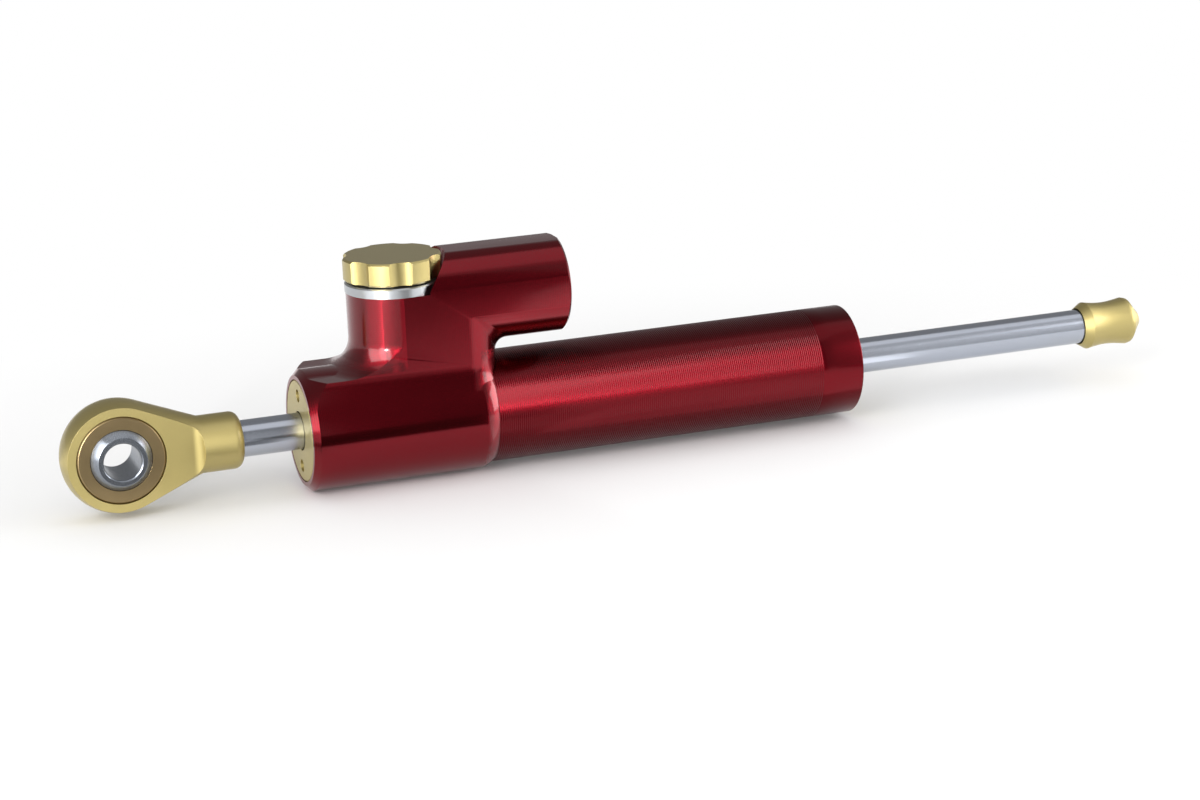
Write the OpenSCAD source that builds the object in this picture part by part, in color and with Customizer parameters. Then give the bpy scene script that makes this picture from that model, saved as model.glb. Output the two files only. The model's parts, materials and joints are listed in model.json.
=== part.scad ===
// Through-rod steering damper for a motorcycle, millimetres.
// The origin is the centre of the ball's bore in the rod end. +X runs along the rod, from the
// rod end to the bumper cap, +Z runs up the adjuster's axis, and +Y points away from the front.

/* [Rod] */
// Diameter of the ground and chromed rod
rod_d = 8; // [7.8:0.05:8.2]
// Rod that shows between the rod end and the housing at rest
rod_gap = 13.2; // [8:0.1:16]
// Rod that shows between the tube and the bumper cap at rest
rod_reach = 61; // [56:0.5:66]
// Diameter of the threaded stub at each end of the rod
stub_d = 7; // [6:0.1:7.4]
// Length of each threaded stub
stub_len = 9; // [7:0.5:10]
// Width of each groove that takes a piston clip
clip_groove_w = 1.2; // [1.1:0.05:1.4]
// Depth of each clip groove
clip_groove_depth = 0.5; // [0.3:0.05:0.8]

/* [Rod end] */
// Outer diameter of the spherical bearing's race
race_od = 19; // [18:0.1:20]
// Width of the race, and of the flat eye round it
race_w = 9; // [8:0.1:10]
// Diameter of the ball
ball_d = 15.875; // [15.5:0.05:16.3]
// Width across the ball's flat faces
ball_w = 12; // [11:0.1:13]
// Bore through the ball
pivot_d = 8; // [7:0.1:9]
// Chamfer at both mouths of the ball's bore
pivot_chamfer = 0.3; // [0.1:0.05:0.6]
// Chamfer at the race's outer edges
race_chamfer = 0.4; // [0.2:0.05:0.7]
// Outer diameter of the eye
eye_d = 24.4; // [24:0.1:27]
// Distance from the eye's centre to the small end of the cone behind it
eye_taper_x = 17.4; // [16.5:0.1:19]
// Distance from the eye's centre to the end of its flat sides
eye_flat_x = 15.2; // [14:0.1:16.5]
// Radius of the cut that ends the flat sides
eye_cut_r = 2.4; // [2:0.1:4]
// Diameter of the eye's collar
collar_d = 12.4; // [11.5:0.1:13.5]
// Distance from the eye's centre to the collar's end
collar_x = 26.3; // [25.5:0.1:30]
// Radius that rounds the collar's end
collar_round = 2; // [1:0.1:2.4]

/* [Bumper cap] */
// Length of the bumper cap
cap_len = 16; // [15:0.5:20]
// Diameter of its rim and of its flare
cap_d = 11; // [10.5:0.1:12]
// Diameter of its waist
cap_waist_d = 9.9; // [9.3:0.1:10.4]
// Length of the cone at its mouth
cap_mouth_len = 1.9; // [1:0.1:3]
// Clearance of its mouth round the rod
cap_mouth_clear = 0.3; // [0.2:0.05:0.4]
// Depth of its mouth
cap_mouth_depth = 2; // [1:0.25:3]
// Length of its nose, from the flare to the tip
cap_nose_len = 4; // [3:0.1:5]
// Radius of the rounded tip
cap_tip_r = 2.4; // [2:0.1:3]

/* [Housing] */
// Diameter of the housing's barrel
block_d = 26.6; // [26:0.1:28]
// Length of the barrel
block_len = 41.3; // [39:0.25:45]
// Chamfer at the barrel's left end
block_chamfer = 1.3; // [0.8:0.1:1.6]
// Radius of the curve that rounds the barrel's right end
block_round = 5.6; // [4:0.1:7]
// Length of that curve
block_round_len = 3.3; // [2:0.1:3.6]
// Distance from the barrel's left face to the adjuster's axis
turret_x = 22.5; // [21.5:0.25:24]
// Width of the neck, which is also the turret's diameter
neck_w = 20.5; // [19.5:0.1:21.4]
// Height of the turret's top face above the rod's axis
turret_top = 28.9; // [28:0.25:31]
// Height of the flat shoulder at the neck's left foot
shoulder_top = 12.5; // [11.5:0.1:13]
// Radius of the hollow curve between the turret and the shoulder
flare_r = 6.6; // [4:0.1:8]
// Radius of the blend between the neck's sides and the barrel
neck_blend = 14; // [6:0.5:16]
// Radius of the neck's two upright corners at its right side
neck_corner = 7.5; // [5:0.25:9]
// Distance from the barrel's left face to the neck's right side
neck_x = 43.5; // [43:0.25:46]
// Diameter of the reservoir arm
arm_d = 21.5; // [20.8:0.1:22.5]
// Height of the arm's axis above the rod's axis
arm_z = 26.2; // [25.5:0.1:27]
// Height of the arm's flat top above the arm's axis
arm_flat = 10.05; // [9.5:0.05:10.4]
// Distance from the barrel's left face to the arm's right end
arm_x = 59.5; // [58:0.5:64]
// Chamfer round the arm's right end
arm_chamfer = 0.5; // [0.2:0.05:0.9]
// Radius of the blend between the neck and the arm's underside
arm_blend = 3; // [2:0.25:4]
// Clearance of the arm's hollow round the knob
knob_clear = 0.85; // [0.5:0.05:1.2]

/* [Tube] */
// Outer diameter of the tube
tube_d = 24.6; // [24:0.05:25]
// Wall of the tube
tube_wall = 1.6; // [1.4:0.05:1.8]
// Length of tube that shows, from the housing to its right end
tube_len = 86.4; // [84:0.5:95]
// Length of the relief beside the housing and under the arm, where a clamp can't reach
relief_len = 18.7; // [18.3:0.1:22]
// Depth of that relief
relief_depth = 0.2; // [0.2:0.05:0.4]
// Chamfer round the tube's right end
tube_chamfer = 0.4; // [0.2:0.05:0.8]
// Step from the tube's outside down to its thread inside the housing
spigot_step = 0.7; // [0.5:0.05:0.9]
// Length of that thread
spigot_len = 17; // [14:0.5:18]
// Clearance between the neck and the tube below it
slot_clear = 0.3; // [0.2:0.05:0.5]

/* [Liner and piston] */
// Oil gap between the liner and the tube
oil_gap = 0.7; // [0.5:0.05:0.9]
// Wall of the liner
liner_wall = 1; // [0.8:0.05:1.2]
// Depth of the right ends of the liner below the tube's end
liner_end = 17.2; // [16.5:0.1:19]
// Diameter of the oil ports at the liner's right end
liner_port_d = 1.6; // [1:0.1:2]
// Length of the piston
piston_len = 10; // [8:0.25:11]
// Distance from the eye's centre to the piston's middle
piston_x = 127.2; // [127:0.1:127.5]
// Width of the piston's ring
piston_ring_w = 4; // [3:0.1:6]
// Thickness of the piston's ring
piston_ring_t = 1; // [0.7:0.05:1.4]
// Outer diameter of the piston's clips
clip_d = 11; // [10:0.1:13]
// Thickness of the piston's clips
clip_t = 1; // [0.8:0.05:1.05]

/* [Seal heads] */
// Diameter of the left head's face
head_d = 22.2; // [21.8:0.05:22.6]
// Length of the left head's flange
flange_len = 6; // [5:0.25:7]
// Chamfer round each head's face
head_chamfer = 0.3; // [0.1:0.05:0.6]
// Length of each head up to the liner's end
head_len = 17; // [16.5:0.1:18]
// Length of each head's spigot inside the liner
head_spigot = 3; // [2:0.1:3.4]
// Depth of the right head's face below the tube's end
head_recess = 0.2; // [0:0.05:0.5]
// Diameter of the pin spanner's holes
pin_hole_d = 2.8; // [2.2:0.1:3]
// Radius that those holes lie on
pin_hole_r = 7.8; // [7.6:0.05:8.4]
// Depth of those holes
pin_hole_depth = 2; // [1.5:0.25:4]
// Thickness of the lip that holds the wiper in
lip_t = 0.8; // [0.5:0.1:1.2]
// Clearance between the lip and the rod
lip_clear = 0.3; // [0.2:0.05:0.5]
// Outer diameter of the wiper
wiper_d = 12; // [11:0.1:12.3]
// Thickness of the wiper
wiper_t = 3; // [2:0.1:3.2]
// Wall of the plain bush
bush_wall = 1; // [0.8:0.05:1.4]
// Length of the plain bush
bush_len = 6; // [4:0.25:6.5]
// Distance from a head's face to its bush
bush_x = 5; // [4.5:0.1:5.3]
// Outer diameter of the rod seal
seal_d = 14; // [12.5:0.1:14.4]
// Length of the rod seal
seal_len = 3.4; // [2.5:0.1:3.6]
// Outer diameter of the washer that holds the rod seal
retainer_d = 15; // [14.6:0.1:15.6]
// Thickness of that washer
retainer_t = 1.5; // [1:0.1:2]
// Distance from a head's face to the inner side of that washer
retainer_x = 17; // [16.6:0.1:17.4]
// Distance from a head's face to its O-ring
head_ring_x = 9; // [8.5:0.1:11]

/* [O-rings] */
// Section of the two heads' O-rings
head_ring_t = 1.5; // [1.2:0.05:1.8]
// Section of the tube's O-ring
tube_ring_t = 0.8; // [0.6:0.05:0.9]
// Distance from the barrel's left face to the tube's O-ring
tube_ring_x = 36; // [34:0.5:38]
// Section of the gland's O-ring
gland_ring_t = 1.4; // [1.1:0.05:1.6]
// Section of the spindle's O-ring
spindle_ring_t = 0.8; // [0.6:0.05:0.9]
// Section of the O-rings on the floating piston and the reservoir's cap
reservoir_ring_t = 1.4; // [1.1:0.05:1.7]

/* [Adjuster] */
// Diameter of the knob
knob_d = 21.4; // [20.8:0.1:21.8]
// Thickness of the knob
knob_t = 5; // [4.5:0.1:6]
// Chamfer at the knob's top and bottom edges
knob_chamfer = 0.4; // [0.2:0.05:0.7]
// Gap between the gland and the knob
knob_gap = 0.5; // [0.3:0.05:0.7]
// Number of grip scallops round the knob
scallops = 7; // [5:1:9]
// Radius of each scallop
scallop_r = 4.3; // [3.5:0.1:5]
// Depth of each scallop
scallop_depth = 1.1; // [0.6:0.05:1.3]
// Angle of the scallop nearest the front, from +X
scallop_at = -95; // [-110:1:-80]
// Diameter of the gland's bare ring
gland_d = 20.8; // [20:0.1:21]
// Height of the gland's bare ring
gland_h = 2.1; // [1.8:0.1:2.6]
// Chamfer at the gland ring's top edge
gland_chamfer = 0.3; // [0.1:0.05:0.5]
// Outer diameter of the gland's thread
gland_thread_d = 14.9; // [14:0.1:15.5]
// Length of the gland's thread
gland_len = 9.9; // [8:0.1:10.2]
// Diameter of the adjuster spindle
spindle_d = 6; // [5.4:0.1:6.4]
// Diameter of the spindle's metering spool
spool_d = 7; // [6.6:0.1:7.4]
// Diameter of the spindle's stub in the knob
knob_stub_d = 5; // [4.5:0.1:5.2]
// Length of that stub
knob_stub_len = 3.4; // [2.8:0.1:3.6]
// Outer diameter of the valve sleeve
sleeve_d = 10.9; // [10:0.1:11.5]
// Length of the valve sleeve
sleeve_len = 6; // [5:0.1:6.2]
// Thickness of the sleeve's floor
sleeve_floor = 1; // [0.8:0.1:1.3]
// Diameter of the oil passages
passage_d = 1.8; // [1.2:0.1:2]
// Diameter of the click balls
click_d = 2; // [1.6:0.1:2.2]
// Radius that the click balls lie on
click_r = 5; // [4.6:0.1:5.3]
// Number of clicks in one full turn
clicks = 24; // [16:1:28]
// Depth of each click's dimple
dimple_depth = 0.5; // [0.3:0.05:0.7]
// Length of the springs above the click balls
click_spring_len = 1.2; // [0.8:0.1:1.4]
// Diameter of the stop pin
stop_pin_d = 1.2; // [1:0.1:1.4]
// Radius that the stop pin lies on
stop_pin_r = 8; // [7.8:0.05:8.2]
// Height of the stop pin above the gland
stop_pin_h = 1.3; // [1:0.1:1.5]
// Angle that the knob turns each way
knob_swing = 150; // [120:5:160]

/* [Reservoir] */
// Bore of the reservoir
reservoir_d = 15; // [14.5:0.1:15.5]
// Depth of that bore from the arm's right end
reservoir_depth = 23.5; // [23:0.25:25]
// Length of the floating piston
float_len = 6; // [5:0.1:7]
// Distance from the reservoir's floor to the floating piston
float_gap = 4; // [3:0.1:5]
// Length of the reservoir's end cap
plug_len = 5; // [4:0.1:6]
// Depth of the end cap's face below the arm's end
plug_recess = 1.6; // [1.4:0.1:2.2]
// Thickness of the retaining ring
snap_t = 1; // [0.8:0.05:1.1]
// Depth of the retaining ring's groove
snap_depth = 0.6; // [0.4:0.05:0.8]
// Radial width of the retaining ring
snap_w = 1.4; // [1.1:0.05:1.8]
// Diameter of the fill screw
fill_d = 5; // [4:0.1:6]
// Width across the flats of the fill screw's hexagon socket
fill_socket = 2.5; // [2:0.1:3]
// Depth of that socket
fill_socket_depth = 2; // [1.5:0.1:2.5]

/* [Fits] */
// Clearance at each side of a running fit
run_fit = 0.05; // [0.02:0.01:0.08]
// Clearance at each side of a seated piece
seat_fit = 0.05; // [0.02:0.01:0.08]
// End float of the clips and rings in their grooves
end_fit = 0.1; // [0.05:0.01:0.15]

/* [Hidden] */
$fn = 96;

// How far a cutting body runs past the face that it cuts
cut = 1;
// Places along the rod, from the eye's centre
body_x = collar_x + rod_gap;
tube_x = body_x + block_len;
tube_end_x = tube_x + tube_len;
cap_x = tube_end_x + rod_reach;
right_face_x = tube_end_x - head_recess;
liner_x = body_x + head_len;
liner_end_x = tube_end_x - liner_end;
spigot_x = tube_x - spigot_len;
adjuster_x = body_x + turret_x;
neck_end_x = body_x + neck_x;
arm_end_x = body_x + arm_x;
// Diameters and radii that several pieces share
tube_bore = tube_d - 2 * tube_wall;
spigot_d = tube_d - 2 * spigot_step;
liner_r = tube_bore / 2 - oil_gap;
liner_bore = 2 * (liner_r - liner_wall);
rod_r = rod_d / 2;
block_r = block_d / 2;
neck_r = neck_w / 2;
right_head_d = tube_bore - 2 * seat_fit;
left_body_d = 2 * liner_r;
corner_x = neck_end_x - neck_corner;
corner_y = neck_r - neck_corner;
// Heights where the neck's blend leaves the neck's side and where it meets the barrel
blend_top = sqrt(pow(block_r + neck_blend, 2) - pow(neck_r + neck_blend, 2));
blend_foot = blend_top * block_r / (block_r + neck_blend);
// Heights of the adjuster's pieces
gland_top = turret_top + gland_h;
knob_z = gland_top + knob_gap;
gland_z = turret_top - gland_len;
sleeve_z = gland_z - sleeve_len;
passage_z = sleeve_z + sleeve_len / 2 + sleeve_floor / 2;
reservoir_x = arm_end_x - reservoir_depth;
float_x = reservoir_x + float_gap;
plug_x = arm_end_x - plug_recess - plug_len;
stop_pin_at = 90;
stop_land = 180 - knob_swing - asin(stop_pin_d / 2 / stop_pin_r) - 0.5;

// Solid of revolution about the rod's axis, from points [x, radius]
module x_turned(points) {
    rotate([0, 90, 0])
        rotate_extrude()
            polygon([for (p = points) [p[1], p[0]]]);
}

// Solid of revolution about the adjuster's axis, from points [radius, z]
module adjuster_turned(points) {
    translate([adjuster_x, 0, 0])
        rotate_extrude()
            polygon(points);
}

// Cylinder along X from x0 to x1
module x_rod(d, x0, x1, z = 0) {
    translate([x0, 0, z])
        rotate([0, 90, 0])
            cylinder(d = d, h = x1 - x0);
}

// Cylinder along Z on the adjuster's axis
module adjuster_rod(d, z0, z1) {
    translate([adjuster_x, 0, z0])
        cylinder(d = d, h = z1 - z0);
}

// Ring of round section about the rod's axis, with its outside at radius r
module x_o_ring(x, r, t) {
    translate([x, 0, 0])
        rotate([0, 90, 0])
            rotate_extrude()
                translate([r - t / 2, 0])
                    circle(d = t, $fn = 32);
}

// Prism along X from x0 to x1, whose section is drawn in Y and Z
module x_prism(x0, x1) {
    translate([x0, 0, 0])
        rotate([90, 0, 90])
            linear_extrude(height = x1 - x0)
                children();
}

// Housing, bored for the left head, the tube, the adjuster and the reservoir

module barrel() {
    difference() {
        x_turned([[body_x, 0], [body_x, block_r - block_chamfer], [body_x + block_chamfer, block_r],
            [tube_x, block_r], [tube_x, 0]]);
        // Curve that rounds the right end
        translate([tube_x - block_round_len, 0, 0])
            rotate([0, 90, 0])
                rotate_extrude()
                    difference() {
                        translate([block_r - block_round, 0])
                            square([block_round + cut, block_round_len + cut]);
                        translate([block_r - block_round, 0]) circle(r = block_round);
                    }
    }
}

// Section of the neck, with the blends at its sides, up to the height top
module neck_section(top) {
    foot_y = (neck_r + neck_blend) * block_r / (block_r + neck_blend);
    difference() {
        union() {
            translate([-neck_r, 0]) square([neck_w, top]);
            polygon([[-foot_y, blend_foot], [-neck_r, blend_top], [neck_r, blend_top],
                [foot_y, blend_foot], [0, 0]]);
        }
        for (side = [-1, 1])
            translate([side * (neck_r + neck_blend), blend_top]) circle(r = neck_blend, $fn = 192);
        translate([-block_r, top]) square([block_d, block_r]);
    }
}

// Cone of the left end's chamfer, carried up over the shoulder
module chamfer_cone() {
    face_r = block_r - block_chamfer;
    x_turned([[body_x, 0], [body_x, face_r], [adjuster_x, face_r + turret_x], [adjuster_x, 0]]);
}

// Turret, and the hollow curve that carries it down to the shoulder
module turret() {
    z = shoulder_top + flare_r;
    adjuster_rod(neck_w, 0, turret_top);
    intersection() {
        translate([adjuster_x, 0, 0])
            rotate_extrude()
                difference() {
                    square([neck_r + flare_r, z]);
                    translate([neck_r + flare_r, z]) circle(r = flare_r);
                }
        x_prism(body_x, adjuster_x) neck_section(z);
        chamfer_cone();
    }
}

// One of the neck's upright corners, flared at its foot
module neck_corner_post(side) {
    translate([corner_x, side * corner_y, 0]) {
        cylinder(r = neck_corner, h = arm_z);
        intersection() {
            rotate_extrude()
                difference() {
                    translate([0, blend_foot])
                        square([neck_corner + neck_blend, blend_top - blend_foot]);
                    translate([neck_corner + neck_blend, blend_top])
                        circle(r = neck_blend, $fn = 192);
                }
            translate([0, -block_r, 0]) cube([tube_x - corner_x, block_d, blend_top]);
        }
    }
}

module neck() {
    difference() {
        union() {
            intersection() {
                x_prism(body_x, adjuster_x) neck_section(shoulder_top);
                chamfer_cone();
            }
            turret();
            x_prism(adjuster_x, corner_x) neck_section(turret_top);
            translate([corner_x, -corner_y, 0])
                cube([neck_corner, 2 * corner_y, arm_z]);
            for (side = [-1, 1])
                neck_corner_post(side);
            arm_fillet();
        }
        x_rod(tube_d + 2 * slot_clear, tube_x, arm_end_x);
    }
}

// Fillet that a ball leaves as it rolls round the neck's right side, under the arm
module arm_fillet() {
    turns = 12;
    arcs = 8;
    sink = 0.05;
    reach = arm_d / 2 + arm_blend;
    // Where the ball leaves the neck's upright corner, short of rolling off the arm
    last_angle = asin(min(1, (0.98 * reach - corner_y) / (neck_corner + arm_blend)));
    angles = [for (side = [-1, 0], i = [0:turns]) last_angle * (side + i / turns)];
    sides = concat([for (i = [0:turns]) -corner_y], [for (i = [0:turns]) corner_y]);
    function unit(v) = v / norm(v);
    function centre(i) = let(y = sides[i] + (neck_corner + arm_blend) * sin(angles[i]))
        [corner_x + (neck_corner + arm_blend) * cos(angles[i]), y, arm_z - sqrt(reach * reach - y * y)];
    function to_neck(i) = [-cos(angles[i]), -sin(angles[i]), 0];
    function to_arm(i) = let(c = centre(i)) unit([0, -c[1], arm_z - c[2]]);
    function ring(i) = let(c = centre(i), n = to_neck(i), a = to_arm(i)) concat(
        [for (k = [0:arcs]) let(t = k / arcs)
            c + unit(n * (1 - t) + a * t) * (arm_blend + (k == 0 || k == arcs ? sink : 0))],
        [c + a * arm_blend * 2 + n * arm_blend, c + n * arm_blend * 2]);
    count = arcs + 3;
    rings = len(angles);
    points = [for (i = [0:rings - 1]) each ring(i)];
    skin = [for (i = [0:rings - 2]) for (k = [0:count - 1])
        let(m = (k + 1) % count, p = i * count, q = p + count)
        each [[p + k, q + k, q + m], [p + k, q + m, p + m]]];
    first = [for (k = [1:count - 2]) [0, k, k + 1]];
    last = [for (k = [1:count - 2]) [0, k + 1, k] + (rings - 1) * count * [1, 1, 1]];
    intersection() {
        polyhedron(points = points, faces = concat(first, skin, last));
        translate([0, -neck_r, 0]) cube([arm_end_x, neck_w, arm_z]);
    }
}

module arm() {
    r = arm_d / 2;
    intersection() {
        translate([0, 0, arm_z])
            x_turned([[adjuster_x, 0], [adjuster_x, r], [arm_end_x - arm_chamfer, r],
                [arm_end_x, r - arm_chamfer], [arm_end_x, 0]]);
        translate([adjuster_x, -neck_r, arm_z - arm_d])
            cube([arm_x, neck_w, arm_d + arm_flat]);
    }
}

module housing() {
    color([0.5, 0.03, 0.07])
    difference() {
        union() {
            barrel();
            neck();
            arm();
        }
        // Hollow round the knob
        adjuster_rod(knob_d + 2 * knob_clear, turret_top, arm_z + arm_d);
        // Bore for the left head and the liner, and thread for the tube
        x_rod(head_d + 2 * seat_fit, body_x - cut, body_x + flange_len);
        x_rod(left_body_d + 2 * seat_fit, body_x, tube_x);
        x_rod(spigot_d + 2 * seat_fit, spigot_x, tube_x + cut);
        translate([tube_ring_x + body_x, 0, 0])
            x_rod(spigot_d + 4 * seat_fit + 2 * tube_ring_t, -tube_ring_t * 0.75, tube_ring_t * 0.75);
        // Gland thread, valve sleeve and the passages between them
        adjuster_rod(gland_thread_d + 2 * seat_fit, gland_z, turret_top + cut);
        adjuster_rod(sleeve_d + 2 * seat_fit, sleeve_z, turret_top);
        adjuster_rod(passage_d, 0, turret_top);
        x_rod(passage_d, adjuster_x, reservoir_x + passage_d, passage_z);
        translate([spigot_x + passage_d, 0, 0])
            cylinder(d = passage_d, h = passage_z);
        translate([reservoir_x + passage_d, 0, passage_z])
            cylinder(d = passage_d, h = arm_z - passage_z);
        // Reservoir, with the groove for its retaining ring
        x_rod(reservoir_d, reservoir_x, arm_end_x + cut, arm_z);
        x_rod(reservoir_d + 2 * snap_depth, arm_end_x - plug_recess,
            arm_end_x - plug_recess + snap_t + end_fit, arm_z);
    }
}

// Tube and liner

module damper_tube() {
    color([0.55, 0.04, 0.08])
    x_turned([[spigot_x, tube_bore / 2], [spigot_x, spigot_d / 2], [tube_x, spigot_d / 2],
        [tube_x, tube_d / 2 - relief_depth], [tube_x + relief_len, tube_d / 2 - relief_depth],
        [tube_x + relief_len, tube_d / 2], [tube_end_x - tube_chamfer, tube_d / 2],
        [tube_end_x, tube_d / 2 - tube_chamfer], [tube_end_x, tube_bore / 2]]);
}

module cylinder_liner() {
    port_x = liner_end_x - head_spigot - liner_port_d;
    color([0.7, 0.71, 0.73])
    difference() {
        x_rod(2 * liner_r, liner_x, liner_end_x);
        x_rod(liner_bore, liner_x - cut, liner_end_x + cut);
        translate([port_x, 0, -liner_r - cut])
            cylinder(d = liner_port_d, h = 2 * liner_r + 2 * cut);
        adjuster_rod(passage_d, 0, liner_r + cut);
    }
}

// Seal heads. A head is drawn from its face at x = 0 towards +X, and the right one is mirrored.

module at_left() {
    translate([body_x, 0, 0]) children();
}

module at_right() {
    translate([right_face_x, 0, 0]) mirror([1, 0, 0]) children();
}

module seal_head(face_d, body_d, flange, len) {
    groove = head_ring_t / 2 + end_fit;
    groove_r = body_d / 2 - head_ring_t;
    bush_r = rod_r + run_fit + bush_wall + seat_fit;
    seal_x = retainer_x - retainer_t - seal_len - end_fit;
    difference() {
        x_turned([[0, rod_r + lip_clear], [0, face_d / 2 - head_chamfer], [head_chamfer, face_d / 2],
            [flange, face_d / 2], [flange, body_d / 2],
            [head_ring_x - groove, body_d / 2], [head_ring_x - groove, groove_r],
            [head_ring_x + groove, groove_r], [head_ring_x + groove, body_d / 2],
            [len, body_d / 2], [len, liner_bore / 2 - seat_fit],
            [len + head_spigot, liner_bore / 2 - seat_fit],
            [len + head_spigot, retainer_d / 2 + seat_fit],
            [retainer_x - retainer_t, retainer_d / 2 + seat_fit],
            [retainer_x - retainer_t, seal_d / 2 + seat_fit], [seal_x, seal_d / 2 + seat_fit],
            [seal_x, rod_r + lip_clear], [bush_x + bush_len, rod_r + lip_clear],
            [bush_x + bush_len, bush_r], [bush_x, bush_r], [bush_x, rod_r + lip_clear],
            [lip_t + wiper_t, rod_r + lip_clear], [lip_t + wiper_t, wiper_d / 2 + seat_fit],
            [lip_t, wiper_d / 2 + seat_fit], [lip_t, rod_r + lip_clear]]);
        for (side = [-1, 1])
            translate([-cut, 0, side * pin_hole_r])
                rotate([0, 90, 0])
                    cylinder(d = pin_hole_d, h = pin_hole_depth + cut, $fn = 32);
    }
}

module ring_on_rod(d, x0, x1, bore = rod_d + 2 * run_fit) {
    x_turned([[x0, bore / 2], [x0, d / 2], [x1, d / 2], [x1, bore / 2]]);
}

module wiper() {
    ring_on_rod(wiper_d, lip_t, lip_t + wiper_t);
}

module rod_bush() {
    ring_on_rod(rod_d + 2 * run_fit + 2 * bush_wall, bush_x, bush_x + bush_len);
}

module rod_seal() {
    x1 = retainer_x - retainer_t;
    groove_x = x1 - seal_len / 2;
    r0 = rod_r + run_fit;
    r1 = seal_d / 2;
    x_turned([[x1 - seal_len, r0], [x1 - seal_len, r1], [x1, r1], [x1, r1 - (r1 - r0) / 3],
        [groove_x, (r0 + r1) / 2], [x1, r0 + (r1 - r0) / 3], [x1, r0]]);
}

module seal_washer() {
    ring_on_rod(retainer_d, retainer_x - retainer_t, retainer_x, rod_d + 2 * lip_clear);
}

module left_seal_head() {
    color([0.78, 0.68, 0.36])
    at_left() seal_head(head_d, left_body_d, flange_len, head_len);
}

module right_seal_head() {
    color([0.78, 0.68, 0.36])
    at_right() seal_head(right_head_d, right_head_d, flange_len, liner_end - head_recess);
}

module left_wiper() {
    color([0.1, 0.1, 0.11]) at_left() wiper();
}

module right_wiper() {
    color([0.1, 0.1, 0.11]) at_right() wiper();
}

module left_rod_bush() {
    color([0.6, 0.45, 0.28]) at_left() rod_bush();
}

module right_rod_bush() {
    color([0.6, 0.45, 0.28]) at_right() rod_bush();
}

module left_rod_seal() {
    color([0.12, 0.12, 0.14]) at_left() rod_seal();
}

module right_rod_seal() {
    color([0.12, 0.12, 0.14]) at_right() rod_seal();
}

module left_seal_washer() {
    color([0.65, 0.66, 0.68]) at_left() seal_washer();
}

module right_seal_washer() {
    color([0.65, 0.66, 0.68]) at_right() seal_washer();
}

module left_head_o_ring() {
    color([0.08, 0.08, 0.08])
    at_left() x_o_ring(head_ring_x, left_body_d / 2 - seat_fit / 2, head_ring_t - seat_fit);
}

module right_head_o_ring() {
    color([0.08, 0.08, 0.08])
    at_right() x_o_ring(head_ring_x, right_head_d / 2 - seat_fit / 2, head_ring_t - seat_fit);
}

module tube_o_ring() {
    color([0.08, 0.08, 0.08])
    x_o_ring(body_x + tube_ring_x, spigot_d / 2 + seat_fit + tube_ring_t, tube_ring_t);
}

// Adjuster: the gland, sleeve and stop pin stay still, and the knob's pieces turn

module adjuster_gland() {
    r = gland_thread_d / 2;
    z = (gland_z + turret_top) / 2;
    groove = gland_ring_t / 2 + end_fit;
    bore = spindle_d / 2 + run_fit;
    color([0.8, 0.81, 0.83])
    difference() {
        adjuster_turned([[bore, gland_z], [r, gland_z], [r, z - groove],
            [r - gland_ring_t, z - groove], [r - gland_ring_t, z + groove], [r, z + groove],
            [r, turret_top], [gland_d / 2, turret_top], [gland_d / 2, gland_top - gland_chamfer],
            [gland_d / 2 - gland_chamfer, gland_top], [bore, gland_top]]);
        for (i = [0:clicks - 1])
            translate([adjuster_x, 0, gland_top + click_d / 2 - dimple_depth])
                rotate([0, 0, i * 360 / clicks])
                    translate([click_r, 0, 0])
                        sphere(d = click_d, $fn = 32);
        translate([adjuster_x, 0, 0])
            rotate([0, 0, stop_pin_at])
                translate([stop_pin_r, 0, gland_top - stop_pin_h])
                    cylinder(d = stop_pin_d + 2 * seat_fit, h = stop_pin_h + cut, $fn = 32);
    }
}

module gland_o_ring() {
    color([0.08, 0.08, 0.08])
    translate([adjuster_x, 0, (gland_z + turret_top) / 2])
        rotate_extrude()
            translate([(gland_thread_d - gland_ring_t) / 2, 0])
                circle(d = gland_ring_t - seat_fit, $fn = 32);
}

module valve_sleeve() {
    wall = (sleeve_d - spool_d) / 2 - run_fit;
    color([0.6, 0.45, 0.28])
    difference() {
        adjuster_rod(sleeve_d, sleeve_z, gland_z);
        adjuster_rod(spool_d + 2 * run_fit, sleeve_z + sleeve_floor, gland_z + cut);
        adjuster_rod(passage_d, sleeve_z - cut, gland_z);
        x_rod(passage_d, adjuster_x + sleeve_d / 2 - 2 * wall, adjuster_x + sleeve_d, passage_z);
    }
}

module stop_pin() {
    color([0.6, 0.61, 0.63])
    translate([adjuster_x, 0, 0])
        rotate([0, 0, stop_pin_at])
            translate([stop_pin_r, 0, gland_top - stop_pin_h])
                cylinder(d = stop_pin_d, h = 2 * stop_pin_h, $fn = 32);
}

// Places a thing at each click ball's place round the adjuster's axis
module at_clicks(z) {
    for (side = [0, 180])
        translate([adjuster_x, 0, z])
            rotate([0, 0, side])
                translate([click_r, 0, 0])
                    children();
}

click_z = gland_top + run_fit + click_d / 2;
pocket_top = click_z + click_d / 2 + click_spring_len;

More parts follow.
